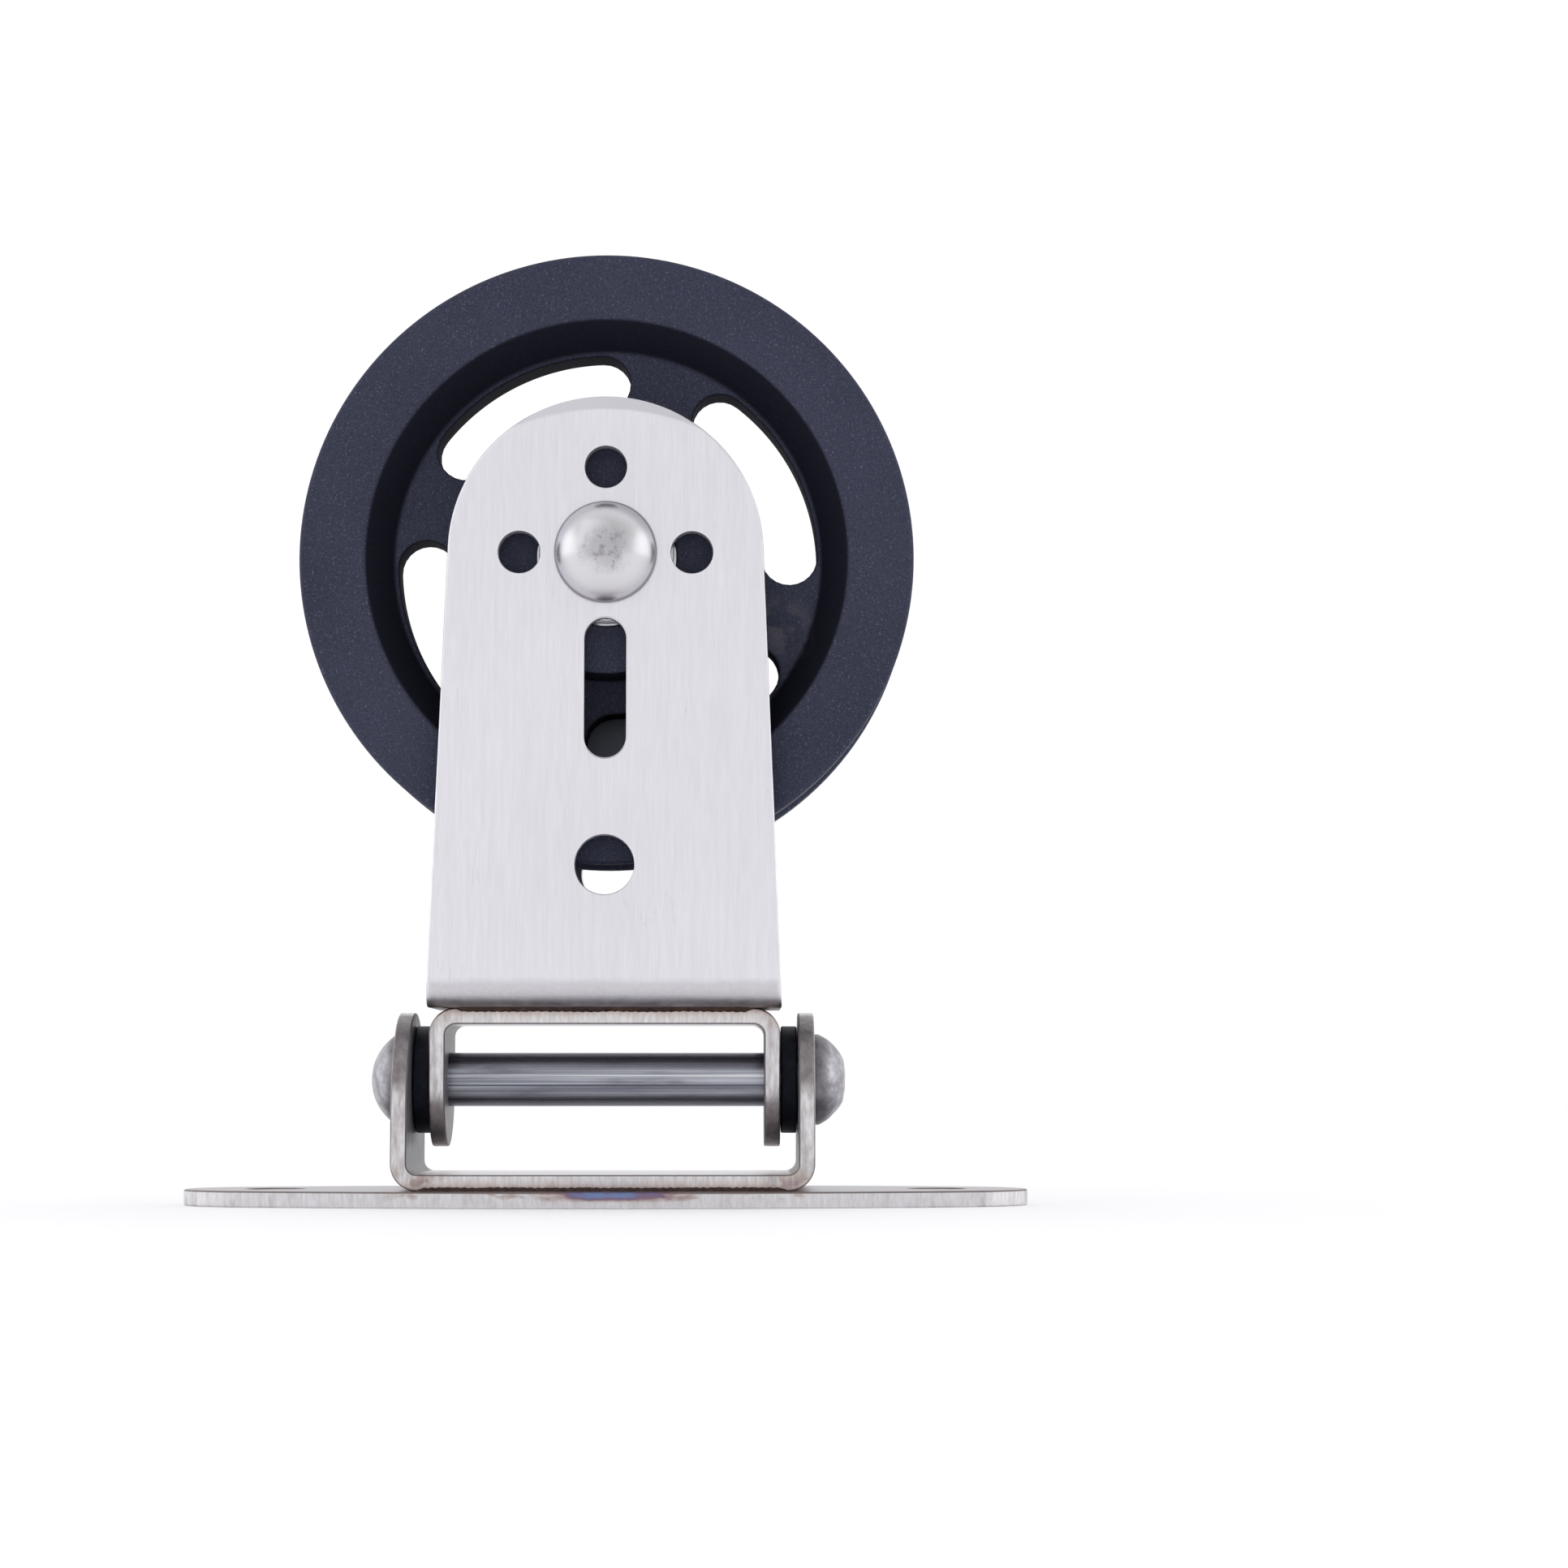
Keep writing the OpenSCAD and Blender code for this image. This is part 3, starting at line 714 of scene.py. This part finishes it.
# %% A strip bent into a U
def u_section(half, depth):
    """The folded sheet seen end on, with its floor at height 0: outer side first, then the inner side."""
    outer = [(-half, depth), *arc((bend - half, bend), bend, 180, 270, 12),
             *arc((half - bend, bend), bend, 270, 360, 12), (half, depth)]
    thin = bend - sheet
    inner = [(half - sheet, depth), *arc((half - bend, bend), thin, 360, 270, 10),
             *arc((bend - half, bend), thin, 270, 180, 10), (sheet - half, depth)]
    return outer + inner


def bent_strip(name, low, high, open_top=True, along="Y"):
    """A U of sheet that fills a box, and runs 1 mm past it where it will be trimmed."""
    base, up = (low.z, 1) if open_top else (high.z, -1)
    depth = high.z - low.z + 1 * MM
    if along == "Y":
        section = u_section(high.x, depth)
        return slab(name, section, lambda u, v: (u, low.y - 1 * MM, base + up * v),
                    (0, high.y - low.y + 2 * MM, 0))
    section = u_section(high.y, depth)
    return slab(name, section, lambda u, v: (low.x - 1 * MM, u, base + up * v), (high.x - low.x + 2 * MM, 0, 0))


def trim(strip, outline, place, thickness):
    cut(strip, slab("trim", outline, place, thickness), "INTERSECT")


def ear_outline(half_width, tip, root):
    """A strip with a round end: (y, z) points, round at tip and square at root."""
    down = 1 if tip > root else -1
    points = arc((0, tip - down * half_width), half_width, 0, 180 * down, 40)
    return [(half_width, root), *points, (-half_width, root)]


# %% Both clevises
def clevis_piece(name, node, low, high, tip, root, body, finish):
    open_top = tip > root
    strip = bent_strip(name, low, high, open_top=open_top, along="Y")
    margin = 1 * MM if open_top else -1 * MM
    outline = ear_outline(high.y, tip, root - margin)
    trim(strip, outline, lambda u, v: (low.x - 1 * MM, u, v), (high.x - low.x + 2 * MM, 0, 0))
    soften(strip, edge_roll, angle=50)
    drill(strip, pin_centre, (1, 0, 0), pin_radius + rivet_fit, faces=(low.x, high.x), flare=0.2 * MM)
    finish_piece(strip, body, finish, "clevis_steel", node)


clevis_piece("outer_hinge_clevis", "outer_clevis", outer_low, outer_high, outer_high.z, outer_low.z,
             "base", outer_clevis_finish)
clevis_piece("inner_hinge_clevis", "inner_clevis", inner_low, inner_high, inner_low.z, inner_high.z,
             "fork_frame", inner_clevis_finish)


# %% [markdown]
# ## The fork
# The arms taper from the bend to a round top. The top of each outer face has been dubbed off on a belt, which
# leaves a shallow crescent. A cone subtracted from a block leaves the tool for that: its edge is the crescent's
# lower arc, and its slope is the crescent's slope.

# %% Fork sheet, dubbed tops and holes
def arm_outline():
    """The arm in (x, z): straight sides that run tangent into a round top."""
    foot = Vector((fork_high.x, fork_low.z - axle_z))
    turn = math.degrees(math.atan2(foot.y, foot.x) + math.acos(fork_top_radius / foot.length))
    top = arc((0, axle_z), fork_top_radius, turn, 180 - turn, 72)
    return [(fork_high.x, fork_low.z - 1 * MM), (fork_high.x, fork_low.z), *top,
            (fork_low.x, fork_low.z), (fork_low.x, fork_low.z - 1 * MM)]


def dubbing_tool(side):
    """What the belt takes off the top of one arm's outer face."""
    face = side * fork_high.y
    centre = Vector((0, 0, fork_high.z - dub_drop - dub_radius))
    slope = math.tan(math.radians(8))
    depth = 1.2 * MM
    cone = [(0.0, side * 2 * MM), (dub_radius, side * 2 * MM), (dub_radius, 0.0),
            (dub_radius + depth / slope, -side * depth), (0.0, -side * depth)]
    core = lathe("dub_core", cone, centre + Vector((0, face, 0)), (0, 1, 0), steps=256, closed=False)
    tool = block("dub_tool", Vector((-31 * MM, min(face, face - side * 0.6 * MM) - 0.1 * MM, axle_z + 16 * MM)),
                 Vector((31 * MM, max(face, face - side * 0.6 * MM) + 0.1 * MM, fork_high.z + 2 * MM)))
    cut(tool, core)
    return tool


def fork_piece():
    fork = bent_strip("fork_sheet", fork_low, fork_high, along="X")
    trim(fork, arm_outline(), lambda u, v: (u, fork_low.y - 1 * MM, v), (0, 2 * fork_high.y + 2 * MM, 0))
    soften(fork, edge_roll, angle=50)
    for side in (-1, 1):
        cut(fork, dubbing_tool(side))
    front_arm = (fork_low.y, fork_low.y + sheet)
    rear_arm = (fork_high.y - sheet, fork_high.y)
    for x, z in [(vent_offset, 0), (-vent_offset, 0), (0, vent_offset)]:
        drill(fork, axle_centre + Vector((x, 0, z)), (0, 1, 0), vent_radius, faces=front_arm)
    slot_cut(fork, front_arm)
    for arm in (front_arm, rear_arm):
        drill(fork, axle_centre + Vector((0, 0, -eye_drop)), (0, 1, 0), eye_radius, faces=arm)
        drill(fork, axle_centre, (0, 1, 0), pin_radius, faces=arm, flare=0.2 * MM)
    finish_piece(fork, "fork_frame", fork_finish, "fork_steel", "fork")


def stadium(low_z, high_z, radius, count=24):
    return arc((0, high_z), radius, 0, 180, count) + arc((0, low_z), radius, 180, 360, count)


def slot_cut(fork, faces):
    """The long vent: a stadium prism, with its edges rolled over by two tapered rims."""
    low_z, high_z = axle_z + vent_slot_ends[1], axle_z + vent_slot_ends[0]
    outline = stadium(low_z, high_z, vent_radius)
    through = faces[1] - faces[0] + 2 * MM
    cut(fork, slab("slot", outline, lambda u, v: (u, faces[0] - 1 * MM, v), (0, through, 0)))
    flare = edge_roll
    taper = (vent_radius - 0.02 * MM) / (vent_radius + flare)
    for face, side in zip(faces, (-1, 1)):
        rim = slab("slot_rim", stadium(low_z, high_z, vent_radius + flare),
                   lambda u, v: (u, face + side * 0.05 * MM, v), (0, -side * flare, 0))
        deep = face + side * 0.05 * MM - side * flare
        for vertex in rim.data.vertices:
            if abs(vertex.co.y - deep) < 1e-6:
                middle = max(low_z, min(high_z, vertex.co.z))
                vertex.co.x *= taper
                vertex.co.z = middle + (vertex.co.z - middle) * taper
        cut(fork, rim)


fork_piece()

# %% [markdown]
# ## Rivets
# Both rivets are lathe work. The axle has the same broad dome at both ends. The hinge pin has a full dome
# where it was made and a lower, uneven head where it was peened over, so that head's points are pushed about
# by a little noise.

# %% Dome sections
def dome(radius, height, collar, base, direction, count=18):
    """Section points up a rivet head from its rim to its middle, with a rolled lower edge."""
    cap = height - collar
    sphere = (radius ** 2 + cap ** 2) / (2 * cap)
    centre = height - sphere
    start = math.asin((collar - centre) / sphere)
    points = [(radius - 0.35 * MM, 0.0), (radius - 0.1 * MM, 0.1 * MM), (radius, 0.35 * MM)]
    for i in range(count + 1):
        angle = start + (math.pi / 2 - start) * i / count
        points.append((max(sphere * math.cos(angle), 0.0), centre + sphere * math.sin(angle)))
    return [(r, base + direction * h) for r, h in points]


# %% Axle and hinge pin
def axle_piece():
    half = fork_high.y
    front = dome(axle_high.x, axle_high.y - half, 0.5 * MM, -half, -1)
    rear = dome(axle_high.x, axle_high.y - half, 0.5 * MM, half, 1)
    section = [*reversed(front), (pin_radius, -half), (pin_radius, half), *rear]
    axle = lathe("wheel_axle_rivet", section, axle_centre, (0, 1, 0), steps=96, closed=False)
    finish_piece(axle, "fork_frame", axle_finish, "axle_steel", "axle_rivet")


def pin_piece():
    head = pin_high.z - pin_z
    left = dome(head, outer_low.x - pin_low.x, 0.6 * MM, outer_low.x, -1)
    right = dome(head, pin_high.x - outer_high.x, 1.0 * MM, outer_high.x, 1)
    section = [*reversed(left), (pin_radius, outer_low.x), (pin_radius, outer_high.x), *right]
    pin = lathe("hinge_pin_rivet", section, pin_centre, (1, 0, 0), steps=96, closed=False)
    for vertex in pin.data.vertices:
        height = vertex.co.x - outer_high.x
        if height > 0.5 * MM:
            dent = noise.noise(vertex.co * 260) * 0.25 * MM
            vertex.co.x -= abs(dent)
            flat = max(0.0, height - 5.6 * MM)
            vertex.co.x -= flat * 0.5
    finish_piece(pin, "base", pin_finish, "pin_steel", "hinge_pin")


axle_piece()
pin_piece()


# %% [markdown]
# ## Washers and spacers
# A black washer fills each side of the hinge, and a turned steel spacer stands between each arm and the
# bearing. They are rings with rounded or chamfered corners, turned from one section each.

# %% Rings
def ring(name, node, axis_index, inner, edge, body, material, slot):
    low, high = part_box(node)
    centre = (low + high) / 2
    half = (high[axis_index] - low[axis_index]) / 2
    other = 2 if axis_index != 2 else 0
    outer = (high[other] - low[other]) / 2
    section = rounded([(inner, -half), (outer, -half), (outer, half), (inner, half)], [edge] * 4)
    axis = [0, 0, 0]
    axis[axis_index] = 1
    made = lathe(name, section, centre, axis, steps=96)
    finish_piece(made, body, material, slot, node)


for side in ("left", "right"):
    ring(f"black_washer_{side}", f"hinge_washer_{side}", 0, pin_radius + rivet_fit, 0.35 * MM, "base",
         washer_finish, "black_washer")


def spacer_piece(side_name, side):
    """A flange against the arm and a small boss that touches only the bearing's inner race."""
    low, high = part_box(f"{side_name}_spacer_washer")
    outer = (high.x - low.x) / 2
    arm, hub = (high.y, low.y) if side > 0 else (low.y, high.y)
    flange = arm - side * 2 * MM
    boss = 7.3 * MM
    section = rounded([(pin_radius, arm), (outer, arm), (outer, flange), (boss, flange), (boss, hub),
                       (pin_radius, hub)], [0, 0.3 * MM, 0.3 * MM, 0.2 * MM, 0.1 * MM, 0])
    made = lathe(f"{side_name}_hub_spacer", section, axle_centre, (0, 1, 0), steps=96)
    finish_piece(made, "fork_frame", spacer_finish, "spacer_steel", f"{side_name}_spacer_washer")


spacer_piece("front", -1)
spacer_piece("rear", 1)

# %% [markdown]
# ## The wheel
# The wheel is one moulding: a hub for the bearings, a thin web with four long windows, a sloping wall and a
# rim with a round cable groove. The section is turned once, and each window is cut with a tool whose sides
# flare at both faces, so the cut leaves the moulding's soft edges.

# %% Wheel section
window_half = 25.1  # degrees from a window's middle to the middle of its round end
window_count = 4
first_window = 27   # degrees from the X axis to the middle of the first window
window_in = 29.0 * MM
window_out = 39.5 * MM
web_half = 4.5 * MM


def wheel_section():
    bore, shoulder, hub = 13 * MM, 10.66 * MM, 22 * MM
    seat = hub_half - 8 * MM
    web, rim = 40.4 * MM, 45.3 * MM
    lip = 8 * MM
    groove_r, groove_centre = 4.2 * MM, 52.2 * MM
    upper = [(shoulder, seat), (bore, seat), (bore, hub_half), (hub, hub_half), (hub + 0.5 * MM, web_half),
             (web, web_half), (rim, hub_half), (wheel_radius, hub_half), (wheel_radius, lip)]
    radii = [0.2, 0, 0.4, 0.8, 1.2, 1.0, 0.9, 1.0, 0.8]
    lower = [(r, -y) for r, y in reversed(upper)]
    groove = arc((groove_centre, 0), groove_r, 90, 270, 16)
    corners = upper + groove + lower
    return rounded(corners, [r * MM for r in radii] + [0] * len(groove) + [r * MM for r in reversed(radii)])


def window_outline(grow):
    """One window in polar form, centred on angle 0, with full-round ends and grown outwards a little."""
    middle = (window_in + window_out) / 2
    end_r = (window_out - window_in) / 2 + grow
    start, stop = math.radians(-window_half), math.radians(window_half)
    points = arc((0, 0), window_out + grow, -window_half, window_half, 32)
    ends = []
    for angle, first in ((stop, 0.0), (start, math.pi)):
        centre = (middle * math.cos(angle), middle * math.sin(angle))
        ends.append([(centre[0] + end_r * math.cos(angle + first + math.pi * i / 12),
                      centre[1] + end_r * math.sin(angle + first + math.pi * i / 12)) for i in range(1, 12)])
    inner = arc((0, 0), window_in - grow, window_half, -window_half, 32)
    return points + ends[0] + inner + ends[1]


def window_tool(turn):
    """A prism through the web whose rings widen towards both faces."""
    flare = 0.7 * MM
    curl = [math.radians(d) for d in (12, 30, 50, 70, 90)]
    rings = [(web_half + 0.6 * MM, flare * 1.6)]
    rings += [(web_half - flare * (1 - math.cos(a)) + 0.03 * MM, flare * (1 - math.sin(a))) for a in curl]
    rings += [(-y, grow) for y, grow in reversed(rings)]
    tool = slab("window_tool", window_outline(0), lambda u, v: (u, rings[0][0], v), (0, -1 * MM, 0))
    for step in range(2, len(rings)):
        front = rings[0][0] - (step - 1) * MM
        pick(tool, "FACE", lambda points: max(p.y for p in points) < front + 1e-6)
        bpy.ops.mesh.extrude_region_move(TRANSFORM_OT_translate={"value": (0, -1 * MM, 0)})
        edit_done()
    levels = sorted({round(v.co.y, 6) for v in tool.data.vertices}, reverse=True)
    count = len(window_outline(0))
    cos, sin = math.cos(turn), math.sin(turn)
    for level, (y, grow) in zip(levels, rings):
        outline = window_outline(grow)
        base = window_outline(0)
        for vertex in [v for v in tool.data.vertices if abs(v.co.y - level) < 1e-6]:
            nearest = min(range(count), key=lambda i: (base[i][0] - vertex.co.x) ** 2
                          + (base[i][1] - vertex.co.z) ** 2)
            u, v = outline[nearest]
            vertex.co = (u * cos - v * sin, y, axle_z + u * sin + v * cos)
    return tool


def wheel_piece():
    wheel = lathe("cable_wheel", wheel_section(), axle_centre, (0, 1, 0), steps=192)
    for i in range(window_count):
        cut(wheel, window_tool(math.radians(first_window + 360 * i / window_count)))
    finish_piece(wheel, "wheel", nylon_finish, "black_nylon", "sheave")


wheel_piece()


# %% [markdown]
# ## Weld beads
# The clevises are joined with thin fused seams. A seam is a half-buried round bead whose surface rises and
# falls with each pulse of the torch, so its rings are swollen by a wave and a little noise.

# %% Rippled beads
def bead(name, start, end, radius, ripple):
    start, end = Vector(start), Vector(end)
    length = end.x - start.x
    steps = int(length / (0.45 * MM))
    bpy.ops.object.select_all(action="DESELECT")
    bpy.ops.mesh.primitive_cylinder_add(vertices=12, radius=radius, depth=length, end_fill_type="NGON",
                                        location=(start + end) / 2, rotation=(0, math.pi / 2, 0))
    obj = bpy.context.object
    obj.name = name
    bpy.ops.object.transform_apply(location=True, rotation=True, scale=True)
    pick(obj, "EDGE", lambda points: abs(points[0].x - points[1].x) > length / 2)
    bpy.ops.mesh.subdivide(number_cuts=steps)
    edit_done()
    for vertex in obj.data.vertices:
        centre = Vector((vertex.co.x, start.y, start.z))
        wave = 0.82 + 0.1 * math.sin(vertex.co.x / ripple * 2 * math.pi)
        wave += 0.12 * noise.noise(Vector((vertex.co.x * 300, start.y * 900, 0)))
        near_end = min(vertex.co.x - start.x, end.x - vertex.co.x)
        taper = min(1.0, 0.35 + near_end / (2 * MM))
        vertex.co = centre + (vertex.co - centre) * min(wave, 0.98) * taper
    return obj


def bead_pair(name, node, half_length, y, z, radius, body):
    front = bead(name, (-half_length, -y, z), (half_length, -y, z), radius, weld_ripple)
    rear = bead(name, (-half_length, y, z), (half_length, y, z), radius, weld_ripple)
    pair = join(front, rear)
    finish_piece(pair, body, weld_finish, "weld", node)


base_weld_low, base_weld_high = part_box("base_welds")
fork_weld_low, fork_weld_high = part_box("fork_welds")
weld_leg = 0.9 * MM
weld_ripple = 1.5 * MM
bead_pair("plate_weld_beads", "base_welds", base_weld_high.x, outer_high.y, plate_high.z, weld_leg, "base")
bead_pair("saddle_weld_beads", "fork_welds", fork_weld_high.x, inner_high.y, fork_low.z, weld_leg, "fork_frame")

# %% [markdown]
# ## Parts kept as the frame made them
# The bearings sit inside the hub, where their exact shapes are already right. They only need their finish.

# %% Finishes on the bearing parts
kept = {"bearing_spacer_tube": spacer_finish}
for end in ("front", "rear"):
    for part in ("inner_race", "outer_race", "balls"):
        kept[f"{end}_{part}"] = race_finish
    kept[f"{end}_cage"] = cage_finish
    kept[f"{end}_outer_shield"] = kept[f"{end}_inner_shield"] = shield_finish
for node, material in kept.items():
    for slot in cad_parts[node].material_slots:
        slot.material = material
print(len(kept), "parts kept with their own shape")

# %% [markdown]
# ## Studio
# Polished and brushed steel show the room, not themselves. So the room is the light: white behind the object,
# a little darker in front and overhead, and bright at both sides. The sheet then has an even pale tone, and
# the rivets get a highlight at each side. The floor glows slightly, so that it's as white as what's behind it.

# %% Floor
def floor():
    bpy.ops.object.select_all(action="DESELECT")
    bpy.ops.mesh.primitive_plane_add(size=60, location=(0, 0, 0))
    ground = bpy.context.object
    ground.name = "studio_floor"
    finish = Finish("floor_paint", roughness=0.95, Specular_IOR_Level=0.1)
    finish.feed("Base Color", finish.mix((0.97, 0.97, 0.975), (0.99, 0.99, 0.99), finish.noise(3.0)))
    finish.shader.inputs["Emission Color"].default_value = (1, 1, 1, 1)
    finish.shader.inputs["Emission Strength"].default_value = 0.09
    ground.data.materials.append(finish.material)


floor()


# %% Room light
class Sky(Finish):
    """The same socket maths for the world's own shader."""

    def __init__(self, world):
        world.use_nodes = True
        self.tree = world.node_tree
        self.shader = self.tree.nodes["Background"]
        self.x, self.y, self.z = self.split(self.node("ShaderNodeTexCoord", output="Generated"))


def room():
    world = bpy.data.worlds.new("studio_room")
    bpy.context.scene.world = world
    sky = Sky(world)
    front = (-1 * sky.y).fade(0.0, 0.6)
    top = sky.z.fade(0.35, 0.8)
    side = sky.x.size().fade(0.72, 0.9)
    level = 1.03 - front * 0.29 - top * 0.1 + side * 0.5
    sky.feed("Color", sky.node("ShaderNodeCombineColor", {0: level, 1: level, 2: level * 1.015}))
    sky.shader.inputs["Strength"].default_value = 1.0


def soft_light(name, place, target, width, height, power):
    data = bpy.data.lights.new(name, "AREA")
    data.shape = "RECTANGLE"
    data.size = width
    data.size_y = height
    data.energy = power
    light = bpy.data.objects.new(name, data)
    bpy.context.collection.objects.link(light)
    light.location = place
    light.rotation_euler = (Vector(target) - Vector(place)).to_track_quat("-Z", "Y").to_euler()


room()
soft_light("key_panel", (-0.5, -0.8, 0.9), (0, 0, 0.09), 1.1, 1.1, 1.2)

# %% [markdown]
# ## Camera
# The view is from the front at the height of the hinge pin, with a long lens, so the wheel stays round and
# the clevis shows its edges. The camera turns up a little to take in the wheel.

# %% Camera
def camera():
    data = bpy.data.cameras.new("camera")
    data.lens = 82.7
    data.sensor_width = 36
    data.clip_start = 0.01
    made = bpy.data.objects.new("camera", data)
    bpy.context.collection.objects.link(made)
    made.location = (25 * MM, -680 * MM, pin_z - 1.4 * MM)
    aim = Vector((33.3 * MM, 0, 79.2 * MM))
    made.rotation_euler = (aim - made.location).to_track_quat("-Z", "Y").to_euler()
    bpy.context.scene.camera = made


camera()
bpy.context.scene.view_settings.view_transform = "Standard"
